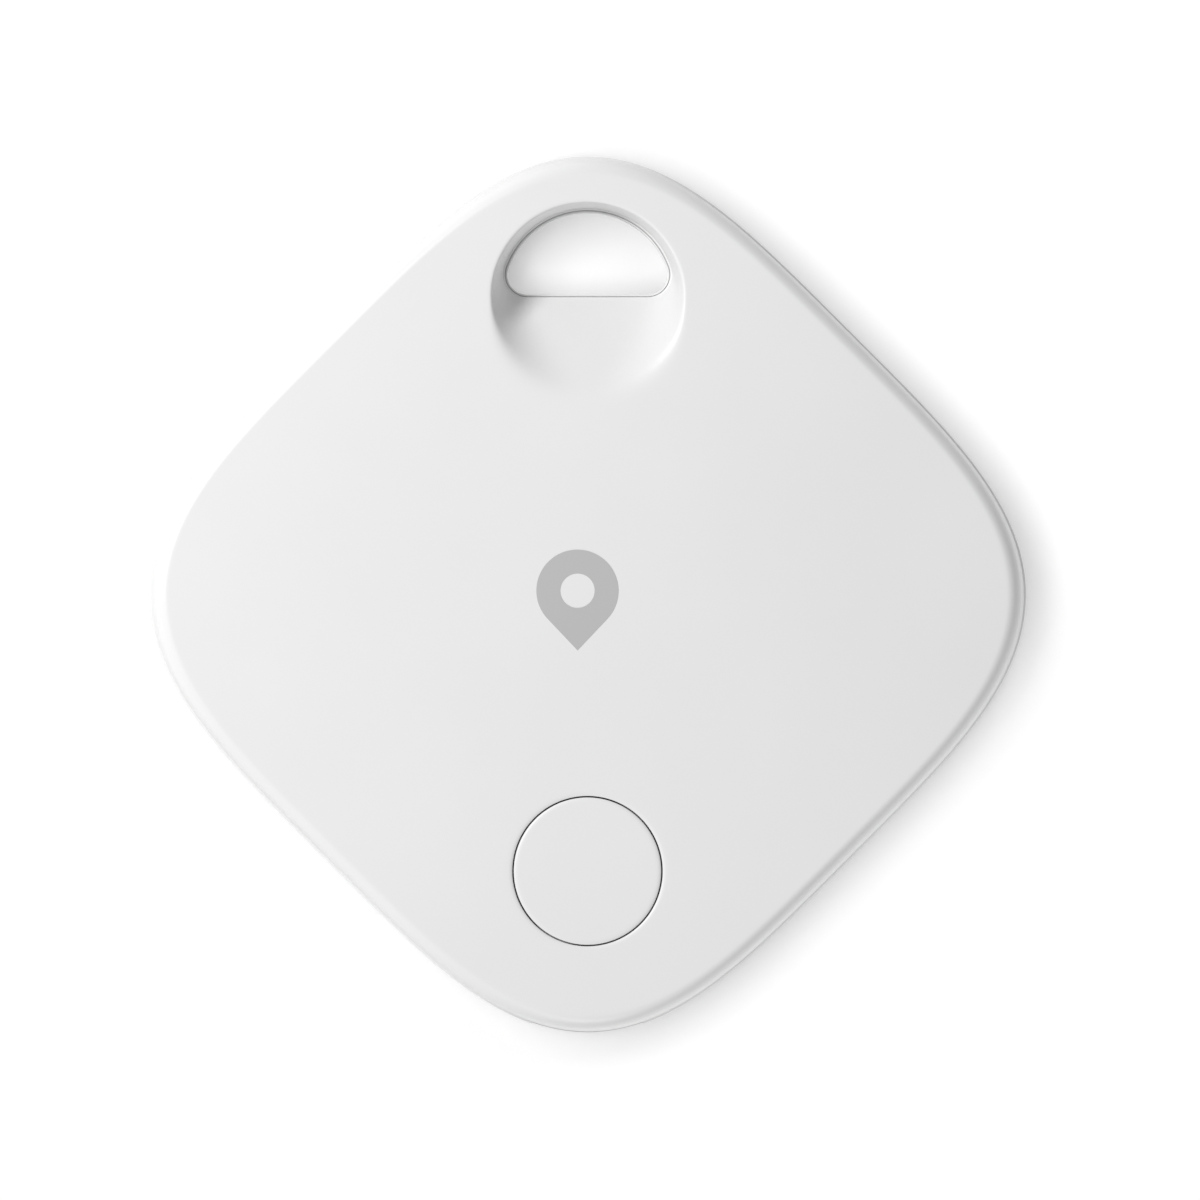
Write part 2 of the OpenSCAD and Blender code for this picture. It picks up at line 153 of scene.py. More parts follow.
def dome(x, y):
    """Height of the front face, without its rounded edge."""
    return THICK - DOME_SINK - DOME * (x * x + y * y) / HALF ** 2


def rounded_d(x, y, radius, base, corner, middle=HOLE_Y):
    """Signed distance from a D: an arc round (0, middle), cut at y = base, with rounded corners."""
    inner = radius - corner
    rise = base + corner - middle
    corner_x = math.sqrt(max(0, inner ** 2 - rise ** 2))
    px = np.abs(x)
    to_arc = np.hypot(x, y - middle) - inner
    to_line = base + corner - y
    to_corner = np.hypot(px - corner_x, to_line)
    over_arc = ((y - middle) * corner_x >= px * rise) & (to_arc > 0)
    outside = np.where(over_arc, to_arc, np.where(px <= corner_x, to_line, to_corner))
    within = (to_arc <= 0) & (to_line <= 0)
    return np.where(within, np.maximum(to_arc, to_line), outside) - corner


def hole_distance(x, y):
    return rounded_d(x, y, HOLE_R, HOLE_Y, HOLE_CORNER)


def rays(distance, count=DISH_SIDES):
    """How far each ray from the pole runs before distance(x, y) turns positive."""
    a = turn(count)
    near, far = np.zeros(count), np.full(count, 12.0)
    for _ in range(40):
        middle = (near + far) / 2
        inside = distance(middle * np.cos(a), POLE_Y + middle * np.sin(a)) < 0
        near, far = np.where(inside, middle, near), np.where(inside, far, middle)
    return near


def polar(t):
    """Points that far out along the rays from the pole."""
    a = turn(len(t))
    return t * np.cos(a), POLE_Y + t * np.sin(a)


def smoothstep(x):
    x = np.clip(x, 0, 1)
    return x * x * (3 - 2 * x)


def resample(curve, count=None, step=None):
    """Points along a curve, evenly spaced by its length."""
    s = np.concatenate([[0], np.cumsum(np.hypot(*np.diff(curve, axis=0).T))])
    wanted = np.linspace(0, s[-1], count or int(s[-1] / step) + 1)
    return np.stack([np.interp(wanted, s, curve[:, k]) for k in (0, 1)], 1)


def soften(curve, sigma, step=0.02):
    """The curve with its bends rounded by a moving average of that width."""
    curve = resample(curve, step=step)
    span = int(3 * sigma / step)
    weights = np.exp(-0.5 * (np.arange(-span, span + 1) * step / sigma) ** 2)
    weights /= weights.sum()
    head = curve[0] + (curve[0] - curve[1]) * np.arange(span, 0, -1)[:, None]
    tail = curve[-1] + (curve[-1] - curve[-2]) * np.arange(1, span + 1)[:, None]
    padded = np.concatenate([head, curve, tail])
    return np.stack([np.convolve(padded[:, k], weights, "valid") for k in (0, 1)], 1)


def thinned(curve, bend=0.07):
    """The curve without the points where it runs straight on."""
    kept = [0]
    for i in range(1, len(curve) - 1):
        a, b = curve[i] - curve[kept[-1]], curve[i + 1] - curve[i]
        if abs(math.atan2(a[0] * b[1] - a[1] * b[0], a @ b)) > bend:
            kept.append(i)
    return curve[[*kept, len(curve) - 1]]


def inside(points, polygon):
    """Which of the points are within a closed polygon."""
    x, y = points[:, :1], points[:, 1:]
    (ax, ay), (bx, by) = polygon.T, np.roll(polygon, -1, 0).T
    crossed = (ay > y) != (by > y)
    at = ax + (y - ay) * (bx - ax) / np.where(by == ay, 1, by - ay)
    return (crossed & (x < at)).sum(1) % 2 == 1


class Skin:
    """A closed mesh put together from rings of points."""

    def __init__(self):
        self.points = []
        self.faces = []

    def ring(self, x, y, z):
        start = len(self.points)
        self.points += list(zip(x, y, np.broadcast_to(z, np.shape(x))))
        return list(range(start, len(self.points)))

    def sleeve(self, rings):
        """Joins rings one after another. Returns the first and the last."""
        made = [self.ring(*r) for r in rings]
        for a, b in zip(made, made[1:]):
            count = len(a)
            self.faces += [(a[i], a[(i + 1) % count], b[(i + 1) % count], b[i]) for i in range(count)]
        return made[0], made[-1]

    def fan(self, ring, x, y, z):
        middle = len(self.points)
        self.points.append((x, y, z))
        self.faces += [(ring[i - 1], ring[i], middle) for i in range(len(ring))]

    def fill(self, outer, holes, height, spacing):
        """Triangles between an outer ring and hole rings, over a grid lifted to height(x, y)."""
        loops = [outer, *holes]
        shapes = [np.array([self.points[i][:2] for i in loop]) for loop in loops]
        edge_points = np.concatenate(shapes)
        low, high = edge_points.min(0), edge_points.max(0)
        gx, gy = np.meshgrid(np.arange(low[0], high[0], spacing),
                             np.arange(low[1], high[1], spacing * 0.87))
        gx[1::2] += spacing / 2
        grid = np.stack([gx.ravel(), gy.ravel()], 1)
        clear = inside(grid, shapes[0])
        for shape in shapes[1:]:
            clear &= ~inside(grid, shape)
        grid = grid[clear]
        gaps = np.hypot(*(grid[:, None] - edge_points[None]).transpose(2, 0, 1)).min(1)
        grid = grid[gaps > spacing * 0.6]
        index = [i for loop in loops for i in loop]
        index += self.ring(grid[:, 0], grid[:, 1], height(grid[:, 0], grid[:, 1]))
        edges, start = [], 0
        for loop in loops:
            edges += [(start + i, start + (i + 1) % len(loop)) for i in range(len(loop))]
            start += len(loop)
        flat = np.concatenate([edge_points, grid])
        made = delaunay_2d_cdt([Vector(p) for p in flat], edges, [], 0, 1e-7)
        source = [ids[0] for ids in made[3]]
        faces = np.array([[source[i] for i in f] for f in made[2]])
        centres = flat[faces].mean(1)
        keep = inside(centres, shapes[0])
        for shape in shapes[1:]:
            keep &= ~inside(centres, shape)
        self.faces += [tuple(index[i] for i in f) for f in faces[keep]]

    def tube(self, x, y, inner, outer, low, high, count=48):
        """A closed ring-shaped solid of its own."""
        a = turn(count)
        made = [self.ring(x + r * np.cos(a), y + r * np.sin(a), z)
                for r, z in [(inner, low), (outer, low), (outer, high), (inner, high)]]
        for p, q in zip(made, made[1:] + made[:1]):
            self.faces += [(p[i - 1], p[i], q[i], q[i - 1]) for i in range(count)]

    def rod(self, x, y, radius, low, high, bevel=0.06, count=48):
        """A closed round pin with a bevelled upper end."""
        levels = [(radius, low), (radius, high - bevel), (radius - bevel, high)]
        a = turn(count)
        first, last = self.sleeve([(x + r * np.cos(a), y + r * np.sin(a), z) for r, z in levels])
        self.fan(first, x, y, low)
        self.fan(last, x, y, high)

    def prism(self, corners, low, high):
        """A closed straight-sided block over an outline of [x, y] corners."""
        x, y = np.array(corners).T
        first, last = self.sleeve([(x, y, low), (x, y, high)])
        self.faces += [tuple(first), tuple(last)]

    def bar(self, x, y, length, width, angle, low, high):
        """A closed block, turned by an angle in degrees."""
        a = math.radians(angle)
        along = np.array([math.cos(a), math.sin(a)]) * length / 2
        across = np.array([-math.sin(a), math.cos(a)]) * width / 2
        middle = np.array([x, y])
        corners = [middle - along - across, middle + along - across, middle + along + across,
                   middle - along + across]
        self.prism(corners, low, high)

    def track(self, points, width, low, high):
        """A closed ribbon along a line of [x, y] points, with mitred bends."""
        points = np.array(points, float)
        steps = np.diff(points, axis=0)
        steps /= np.hypot(*steps.T)[:, None]
        before, after = np.vstack([steps[:1], steps]), np.vstack([steps, steps[-1:]])
        both = before + after
        side = np.stack([-both[:, 1], both[:, 0]], 1)
        side *= width / (1 + (before * after).sum(1))[:, None] / 2
        left, right = points + side, points - side
        count = len(points)
        lower = self.ring(*np.vstack([left, right[::-1]]).T, low)
        upper = self.ring(*np.vstack([left, right[::-1]]).T, high)
        for i in range(2 * count):
            j = (i + 1) % (2 * count)
            self.faces.append((lower[i], lower[j], upper[j], upper[i]))
        for i in range(count - 1):
            j, k, m = i + 1, 2 * count - 2 - i, 2 * count - 1 - i
            self.faces += [(lower[i], lower[j], lower[k], lower[m]),
                           (upper[i], upper[j], upper[k], upper[m])]

    def turned(self, profile, x, y, z, rounding=0.03, count=160):
        """A closed skin turned round an upright axis, from a profile of [radius, height] points."""
        curve = thinned(soften(np.array(profile, float), rounding))
        curve = curve[curve[:, 0] > 0.05]
        a = turn(count)
        first, last = self.sleeve([(x + r * np.cos(a), y + r * np.sin(a), z + h) for r, h in curve])
        self.fan(first, x, y, z + curve[0, 1])
        self.fan(last, x, y, z + curve[-1, 1])

    def piece(self, name, material, sharp=40):
        """A Blender object, smooth but for edges sharper than that many degrees."""
        mesh = bpy.data.meshes.new(name)
        mesh.from_pydata([tuple(c * MM for c in p) for p in self.points], [], self.faces)
        shape = bmesh.new()
        shape.from_mesh(mesh)
        bmesh.ops.remove_doubles(shape, verts=shape.verts, dist=1e-7)
        bmesh.ops.dissolve_degenerate(shape, edges=shape.edges, dist=1e-7)
        bmesh.ops.recalc_face_normals(shape, faces=shape.faces)
        shape.to_mesh(mesh)
        shape.free()
        mesh.shade_smooth()
        mesh.set_sharp_from_angle(angle=math.radians(sharp))
        mesh.materials.append(material)
        piece = bpy.data.objects.new(name, mesh)
        bpy.context.scene.collection.objects.link(piece)
        return piece


# Materials

def new_material(name, **values):
    """A material with the given numbers and colours on its shader's own sockets."""
    material = bpy.data.materials.new(name)
    material.use_nodes = True
    shader = material.node_tree.nodes["Principled BSDF"]
    for socket, value in values.items():
        shader.inputs[socket.replace("_", " ")].default_value = value
    return material, material.node_tree, shader


def add(tree, kind, **inputs):
    node = tree.nodes.new(kind)
    for socket, value in inputs.items():
        node.inputs[socket.replace("_", " ")].default_value = value
    return node


def noise(tree, scale, detail=3.0, roughness=0.5):
    where = tree.nodes.new("ShaderNodeTexCoord")
    made = add(tree, "ShaderNodeTexNoise", Scale=scale, Detail=detail, Roughness=roughness)
    tree.links.new(where.outputs["Object"], made.inputs["Vector"])
    return made


def vary(tree, source, target, low, high):
    """Drives a socket between low and high by a texture."""
    spread = add(tree, "ShaderNodeMapRange", From_Min=0.3, From_Max=0.7, To_Min=low, To_Max=high)
    tree.links.new(source, spread.inputs["Value"])
    tree.links.new(spread.outputs["Result"], target)


def tint(tree, source, target, low, high):
    """Drives a colour socket between two colours by a texture."""
    ramp = tree.nodes.new("ShaderNodeValToRGB")
    ramp.color_ramp.elements[0].position, ramp.color_ramp.elements[1].position = 0.3, 0.7
    ramp.color_ramp.elements[0].color, ramp.color_ramp.elements[1].color = (*low, 1), (*high, 1)
    tree.links.new(source, ramp.inputs["Fac"])
    tree.links.new(ramp.outputs["Color"], target)


def bump(tree, source, shader, distance, strength=1.0):
    made = add(tree, "ShaderNodeBump", Strength=strength, Distance=distance)
    tree.links.new(source, made.inputs["Height"])
    tree.links.new(made.outputs["Normal"], shader.inputs["Normal"])


def moulded(name, colour, roughness=0.42, grain=0.0000035, spread=0.012):
    """Satin plastic with a fine spark-eroded grain and a slight unevenness in gloss and shade."""
    material, tree, shader = new_material(name, IOR=1.5, Specular_IOR_Level=0.45)
    cloud = noise(tree, 90, detail=4)
    low = [c * (1 - spread) for c in colour]
    high = [c * (1 + spread) for c in colour]
    tint(tree, cloud.outputs["Fac"], shader.inputs["Base Color"], low, high)
    grains = noise(tree, 9000, detail=2, roughness=0.6)
    vary(tree, grains.outputs["Fac"], shader.inputs["Roughness"], roughness - 0.05, roughness + 0.05)
    bump(tree, grains.outputs["Fac"], shader, grain)
    return material


WHITE = (0.72, 0.72, 0.72)
front_plastic = moulded("white_front_plastic", WHITE)
rear_plastic = moulded("white_rear_plastic", WHITE, roughness=0.46)
button_plastic = moulded("white_button_plastic", WHITE)
ink = moulded("grey_ink", (0.43, 0.435, 0.43), roughness=0.5, grain=0.000002, spread=0.02)


def metal(name, colour, roughness=0.28, grain=0.0000004, scale=4000, spread=0.04):
    """Rolled or plated metal with a slight unevenness in gloss and colour."""
    material, tree, shader = new_material(name, Metallic=1.0)
    cloud = noise(tree, 500, detail=5, roughness=0.6)
    low = [c * (1 - spread) for c in colour]
    tint(tree, cloud.outputs["Fac"], shader.inputs["Base Color"], low, colour)
    grains = noise(tree, scale, detail=3)
    vary(tree, grains.outputs["Fac"], shader.inputs["Roughness"], roughness - 0.06, roughness + 0.08)
    bump(tree, grains.outputs["Fac"], shader, grain)
    return material


def spun_metal(name, colour, x, y, roughness=0.26, line=0.00008):
    """Metal finished in fine circles round an upright axis at (x, y), in metres."""
    material, tree, shader = new_material(name, Metallic=1.0)
    where = tree.nodes.new("ShaderNodeTexCoord")
    level_out = tree.nodes.new("ShaderNodeMapping")
    level_out.inputs["Location"].default_value = (-x, -y, 0)
    level_out.inputs["Scale"].default_value = (1, 1, 0)
    length = tree.nodes.new("ShaderNodeVectorMath")
    length.operation = "LENGTH"
    rings = add(tree, "ShaderNodeTexNoise", Scale=1 / line, Detail=2.0)
    rings.noise_dimensions = "1D"
    tree.links.new(where.outputs["Object"], level_out.inputs["Vector"])
    tree.links.new(level_out.outputs["Vector"], length.inputs[0])
    tree.links.new(length.outputs["Value"], rings.inputs["W"])
    cloud = noise(tree, 350, detail=5, roughness=0.65)
    tint(tree, cloud.outputs["Fac"], shader.inputs["Base Color"], [c * 0.93 for c in colour], colour)
    vary(tree, rings.outputs["Fac"], shader.inputs["Roughness"], roughness - 0.05, roughness + 0.1)
    bump(tree, rings.outputs["Fac"], shader, 0.0000012)
    return material


def sintered(name, colour, roughness=0.6, scale=6000, grain=0.000006, spread=0.15):
    """Pressed or fired grains: speckled, with a rough surface."""
    material, tree, shader = new_material(name, IOR=1.5, Specular_IOR_Level=0.4)
    grains = noise(tree, scale, detail=4, roughness=0.7)
    low = [c * (1 - spread) for c in colour]
    high = [min(1, c * (1 + spread)) for c in colour]
    tint(tree, grains.outputs["Fac"], shader.inputs["Base Color"], low, high)
    vary(tree, grains.outputs["Fac"], shader.inputs["Roughness"], roughness - 0.08, roughness + 0.08)
    bump(tree, grains.outputs["Fac"], shader, grain)
    return material


def foamed(name, colour):
    """Closed-cell foam: a skin of small round cells."""
    material, tree, shader = new_material(name, Roughness=0.85, Specular_IOR_Level=0.25,
                                          Sheen_Weight=0.2)
    where = tree.nodes.new("ShaderNodeTexCoord")
    cells = add(tree, "ShaderNodeTexVoronoi", Scale=5500)
    tree.links.new(where.outputs["Object"], cells.inputs["Vector"])
    low = [c * 0.5 for c in colour]
    tint(tree, cells.outputs["Distance"], shader.inputs["Base Color"], low, colour)
    bump(tree, cells.outputs["Distance"], shader, 0.00003)
    return material


def solder_mask(name, colour, roughness=0.3):
    """Lacquer over glass cloth, whose weave shows through faintly."""
    material, tree, shader = new_material(name, Coat_Weight=0.5, Coat_Roughness=0.12)
    where = tree.nodes.new("ShaderNodeTexCoord")
    weave = add(tree, "ShaderNodeTexChecker", Scale=2200)
    tree.links.new(where.outputs["Object"], weave.inputs["Vector"])
    cloud = noise(tree, 300, detail=3)
    tint(tree, cloud.outputs["Fac"], shader.inputs["Base Color"], [c * 0.85 for c in colour], colour)
    vary(tree, cloud.outputs["Fac"], shader.inputs["Roughness"], roughness - 0.04, roughness + 0.06)
    bump(tree, weave.outputs["Fac"], shader, 0.0000004)
    return material


CELL_X, CELL_Y = 0.0, (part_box("battery_can")[0].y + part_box("battery_can")[1].y) / 2  # in metres
tray_plastic = moulded("black_tray_plastic", (0.035, 0.037, 0.04), roughness=0.5, grain=0.000006,
                       spread=0.15)
screw_steel = metal("nickel_screw_steel", (0.66, 0.65, 0.62), roughness=0.3)
dome_steel = metal("dome_steel", (0.68, 0.67, 0.65), roughness=0.2)
can_steel = spun_metal("can_steel", (0.72, 0.71, 0.68), CELL_X, CELL_Y)
cap_steel = spun_metal("cap_steel", (0.68, 0.67, 0.65), CELL_X, CELL_Y, roughness=0.3, line=0.00014)
gold = metal("contact_gold", (0.93, 0.68, 0.31), roughness=0.25)
pad_gold = metal("pad_gold", (0.95, 0.72, 0.36), roughness=0.3)
tin = metal("dull_tin", (0.74, 0.74, 0.73), roughness=0.4, grain=0.000001)
foam = foamed("charcoal_foam", (0.07, 0.07, 0.075))
mask_green = solder_mask("board_green", (0.012, 0.13, 0.06))
track_green = solder_mask("track_green", (0.03, 0.22, 0.10))

NODE_MATERIALS = {
    "battery_tray": tray_plastic,
    "battery_gasket": moulded("gasket_plastic", (0.05, 0.055, 0.07), roughness=0.35, spread=0.1),
    "battery_cathode": sintered("cathode_powder", (0.018, 0.018, 0.018), roughness=0.85),
    "battery_separator": sintered("separator_fibre", (0.82, 0.82, 0.78), roughness=0.9, spread=0.06),
    "battery_lithium": metal("lithium_foil", (0.62, 0.62, 0.64), roughness=0.48, grain=0.0000015),
    "positive_contacts": gold,
    "negative_contact": gold,
    "circuit_board": mask_green,
    "radio_chip": sintered("chip_resin", (0.022, 0.022, 0.024), roughness=0.55, grain=0.000003),
    "motion_sensor": sintered("sensor_resin", (0.03, 0.03, 0.03), roughness=0.5, grain=0.000003),
    "main_crystal": metal("crystal_lid", (0.7, 0.69, 0.65), roughness=0.3),
    "clock_crystal": metal("clock_can", (0.66, 0.66, 0.65), roughness=0.22),
    "buzzer_coil": sintered("coil_ferrite", (0.06, 0.058, 0.058), roughness=0.5),
    "chip_antenna": sintered("antenna_ceramic", (0.55, 0.66, 0.72), roughness=0.35, spread=0.04),
    "chip_capacitors": sintered("capacitor_ceramic", (0.36, 0.25, 0.16), roughness=0.45, spread=0.08),
    "chip_resistors": sintered("resistor_coat", (0.02, 0.02, 0.022), roughness=0.3),
    "buzzer_springs": gold,
    "buzzer_tape": sintered("tape_film", (0.76, 0.74, 0.66), roughness=0.6, scale=3000, spread=0.05),
    "buzzer_plate": metal("rolled_brass", (0.82, 0.6, 0.26), roughness=0.3, scale=2500),
    "buzzer_ceramic": sintered("silvered_ceramic", (0.66, 0.64, 0.6), roughness=0.42, spread=0.06),
    "switch_base": moulded("switch_plastic", (0.03, 0.03, 0.03), roughness=0.45, spread=0.15),
    "switch_terminals": tin,
    "switch_frame": metal("frame_steel", (0.64, 0.63, 0.61), roughness=0.3),
    "switch_plunger": moulded("plunger_plastic", (0.66, 0.62, 0.5), roughness=0.4),
}


def finish_nodes():
    for name, material in NODE_MATERIALS.items():
        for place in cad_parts[name].material_slots:
            place.material = material


def settle(piece, body, slot, *nodes):
    """Rides on a body and stands for the CAD nodes named, which it hides; slot is not used."""
    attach(piece, body)
    if nodes:
        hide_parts(*nodes)


# Front cover

def front_edge(angles):
    """Rings from the dome over the rounded edge, down the side and under the rim."""
    def lowered(half, share):
        """share runs from 0 on the dome to 1 at the edge's foot."""
        x, y = outline(half, angles)
        return x, y, dome(x, y) - EDGE_H * share

    rings = [lowered(EDGE_HALF - 0.1, 0)]
    for a in np.radians(np.linspace(90, 0, 15)):
        rings.append(lowered(EDGE_HALF + EDGE_W * math.cos(a), 1 - math.sin(a)))
    side = HALF - 0.1
    under = [(HALF - SIDE_LEAN + 0.05, 5.4), (side - 0.04, 4.2), (side, 3.42), (side - 0.03, 3.3),
             (side - 0.1, 3.2), (side - 0.22, 3.12), (HALF - 0.42, RIM_Z + 0.04), (HALF - 0.5, RIM_Z),
             (HALF - 0.8, RIM_Z), (HALF - 0.8, SPLIT + 1.3), (HALF - 1.1, SPLIT + 1.7)]
    return rings + [(*outline(half, angles), z) for half, z in under]


def dish_section(share):
    """How far each ray runs to the dish's wall, a share of the way up from the hole to the rim."""
    def mix(low, high):
        return low + (high - low) * share

    radius, corner = mix(HOLE_R + HOLE_STEP, DISH_R), mix(HOLE_CORNER + HOLE_STEP, DISH_R)
    base, middle = mix(HOLE_Y - HOLE_STEP, DISH_Y - DISH_R), mix(HOLE_Y, DISH_Y)
    return rays(lambda x, y: rounded_d(x, y, radius, base, corner, middle))


def dish_profile(angle, wall, t_out, slack):
    """The dish's surface along one ray, from the hole's edge out to the dome."""
    def place(t):
        return t * math.cos(angle), POLE_Y + t * math.sin(angle)

    rise = np.linspace(0, 1, len(wall))
    rise += DISH_BULGE * rise * (1 - rise)
    t = np.append(wall, 4 * wall[-1] - 3 * wall[-2])
    z = FOOT_Z + (DISH_RIM_Z - FOOT_Z) * np.append(rise, 4 - 3 * rise[-2])
    bowl = resample(np.stack([t, z], 1), step=0.01)
    above = bowl[:, 1] > dome(*place(bowl[:, 0]))
    bowl = bowl[:int(np.argmax(above))]
    t = np.arange(bowl[-1, 0] + 0.01, t_out + 2, 0.02)
    rim = soften(np.concatenate([bowl, np.stack([t, dome(*place(t))], 1)]), slack)
    kept = rim[(rim[:, 0] > wall[0]) & (rim[:, 0] < t_out)]
    ends = [[wall[0], FOOT_Z]], [[t_out, dome(*place(t_out))]]
    return resample(np.concatenate([ends[0], kept, ends[1]]), count=60)


def dish_rings():
    """Rings from the dome down the dish, through the hole and out under the front cover."""
    t_hole = rays(hole_distance)
    a = turn(DISH_SIDES)
    walls = np.array([dish_section(share) for share in np.linspace(0, 1, 25)]).T
    slack = 0.1 + 0.4 * smoothstep((-np.sin(a) - 0.3) / 0.7)
    t_out = walls[:, -1] + 3.4 * slack
    curves = np.array([dish_profile(*values) for values in zip(a, walls, t_out, slack)])
    rings = [(*polar(curves[:, k, 0]), curves[:, k, 1]) for k in range(curves.shape[1] - 1, -1, -1)]
    for b in np.radians([25, 50, 75, 90]):
        t = t_hole + (walls[:, 0] - t_hole) * (1 - math.sin(b))
        rings.append((*polar(t), FOOT_Z - HOLE_STEP * (1 - math.cos(b))))
    rings += [(*polar(t_hole), 3.3), (*polar(t_hole), 3.14), (*polar(t_hole + 0.03), 3.06),
              (*polar(t_hole + 0.1), RIM_Z)]
    t_wall = rays(lambda x, y: np.hypot(x, y - DISH_Y) - DISH_WALL_R)
    x, y = polar(t_wall)
    under = np.where(y < HOLE_Y - 1.25, FOOT_Z - 1.25 + (HOLE_Y - 1.25 - y) * 0.46, RIM_Z)
    rings += [(x, y, np.minimum(under, ceiling(x, y))), (x, y, ceiling(x, y))]
    return rings


def ceiling(x, y):
    """Height of the front cover's inner face."""
    return np.interp(level(x, y), [12, HALF - 2.4, HALF - 1.45, HALF - 1.1],
                     [CEILING_Z, 6.5, 6.0, 4.7])


def button_rings():
    """Rings from the dome into the button's hole, over its seat and up the outside of its collar."""
    wall = BUTTON_R + BUTTON_GAP
    rings = []
    for a in np.radians([0, 0, 18, 36, 54, 72, 90]):
        spread = 0.25 if not rings else 0
        x, y = circle(wall + spread + BUTTON_EDGE_W * (1 - math.sin(a)), BUTTON_Y, BUTTON_SIDES)
        rings.append((x, y, dome(x, y) - BUTTON_EDGE_H * (1 - math.cos(a))))
    for r, z in [(wall, SEAT_Z), (4.7, SEAT_Z), (4.7, COLLAR_Z), (COLLAR_R, COLLAR_Z)]:
        rings.append((*circle(r, BUTTON_Y, BUTTON_SIDES), z))
    x, y = circle(COLLAR_R, BUTTON_Y, BUTTON_SIDES)
    return rings + [(x, y, ceiling(x, y))]


def make_front_cover():
    """The front cover with its screw bosses and the pins that place the board."""
    skin = Skin()
    edge = skin.sleeve(front_edge(turn(OUTLINE_POINTS)))
    dish = skin.sleeve(dish_rings())
    button = skin.sleeve(button_rings())
    skin.fill(edge[0], [dish[0], button[0]], dome, 0.7)
    skin.fill(edge[1], [dish[1], button[1]], ceiling, 1.2)
    for side in (-1, 1):
        skin.tube(side * 15.4, -1.6, 0.72, 1.7, 5.4, 6.8)
        skin.rod(side * 7.5, -12.5, 0.5, 4.6, 6.97)
    settle(skin.piece("front_shell", front_plastic), "housing", "front_shell", "front_cover")


# Rear cover

def rear_angles():
    """Outline angles, with two extra ones at each end of the coin notch."""
    end = math.asin(NOTCH_HALF_W / CORNER)
    extra = [1.5 * math.pi + side * (end + step) for side in (-1, 1) for step in (0, 0.001)]
    return np.sort(np.concatenate([turn(OUTLINE_POINTS), extra])), end


def rear_edge():
    """Rings from the flat back round the rear edge, up the side, over the lip and down to the floor."""
    angles, notch_end = rear_angles()
    in_notch = np.abs(angles - 1.5 * math.pi) <= notch_end + 1e-6
    rings = [(*outline(BACK_HALF - 0.2, angles), 0.0)]
    for a in np.radians(np.linspace(0, 90, 13)):
        rings.append((*outline(BACK_HALF + BACK_ROUND_W * math.sin(a), angles),
                      BACK_ROUND_H * (1 - math.cos(a))))
    rings.append((*outline(HALF - 0.08, angles), 2.0))
    rings.append((*outline(HALF - 0.05, angles), NOTCH_Z - 0.01))
    for half, z in [(HALF - 0.05, NOTCH_Z), (HALF, 2.7), (HALF, 2.78), (HALF - 0.02, 2.84),
                    (HALF - 0.08, 2.9), (HALF - 0.2, 2.96), (HALF - 0.4, SPLIT)]:
        r = half * reach(angles)
        r = np.where(in_notch, np.minimum(r, (CORNER - NOTCH_D) / np.abs(np.sin(angles - 1e-9))), r)
        rings.append((r * np.cos(angles), r * np.sin(angles), z))
    for inset, z in [(0, SPLIT), (0, 3.95), (0.05, 4.06), (0.15, 4.1), (0.5, 4.1),
                     (0.58, 4.06), (0.6, 4.0), (0.6, SPLIT), (0.6, BACK_ROUND_H)]:
        x, y = outline(LIP_HALF - inset, angles)
        cut = (np.abs(x) < 8) & (y > 12.5)  # no lip beside the dish
        rings.append((x, y, np.where(cut, min(z, SPLIT), z)))
    return rings


def rear_floor(x, y):
    """Height of the rear cover's inner face."""
    return np.interp(level(x, y), [HALF - 2.3, HALF - 1.5], [FLOOR_T, BACK_ROUND_H])


def rear_hole_rings():
    """Rings from the inner floor up the collar, through the hole and out of its flared rear."""
    t_collar = rays(lambda x, y: np.maximum.reduce(
        [np.hypot(x, y - DISH_Y) - 6.2, 13.2 - y, level(x, y) - HALF + 1.8]))
    t_hole = rays(lambda x, y: hole_distance(x, y) + REAR_STEP)
    t_flare = rays(lambda x, y: rounded_d(x, y, HOLE_R + 0.45, HOLE_Y - 1.6, 1.6))
    x, y = polar(t_collar)
    rings = [(x, y, rear_floor(x, y)), (x, y, 2.9), (*polar(t_collar - 0.1), SPLIT)]
    t_gap = rays(lambda x, y: hole_distance(x, y) + REAR_GAP)
    rings += [(*polar(t_hole + (t_gap - t_hole) * share), z) for share, z in
              [(2.6, SPLIT), (1, SPLIT), (1, REAR_RIM_Z - 0.02), (0.8, REAR_RIM_Z), (0.2, REAR_RIM_Z),
               (0, REAR_RIM_Z - 0.02), (0, 2.9), (0, FLARE_Z)]]
    for share in np.linspace(0.1, 1, 10):
        rings.append((*polar(t_hole + (t_flare - t_hole) * share ** 1.4),
                      FLARE_Z * (1 - share) + 0.2 * share))
    rings += [(*polar(t_flare + spread), z) for spread, z in
              [(0.03, 0.1), (0.08, 0.04), (0.14, 0.01), (0.2, 0)]]
    return rings


def make_rear_cover():
    """The rear cover with its ring round the foam pad and two snap beads on each side."""
    skin = Skin()
    edge = skin.sleeve(rear_edge())
    hole = skin.sleeve(rear_hole_rings())
    skin.fill(edge[0], [hole[1]], lambda x, y: 0 * x, 1.2)
    skin.fill(edge[1], [hole[0]], rear_floor, 1.0)
    skin.tube(0, -1.6, 10.25, 10.85, 0.7, 1.4, count=160)
    bead_out, bead_apart = HALF - 1.01, 2.5
    for a in (45, 135, 225, 315):
        for side in (-1, 1):
            along, out = math.radians(a + 90), math.radians(a)
            x = bead_out * math.cos(out) + side * bead_apart * math.cos(along)
            y = bead_out * math.sin(out) + side * bead_apart * math.sin(along)
            skin.bar(x, y, 0.29, 3, a, 3.45, 3.8)
    settle(skin.piece("rear_shell", rear_plastic), "rear_lid", "rear_shell", "rear_cover")


# Button

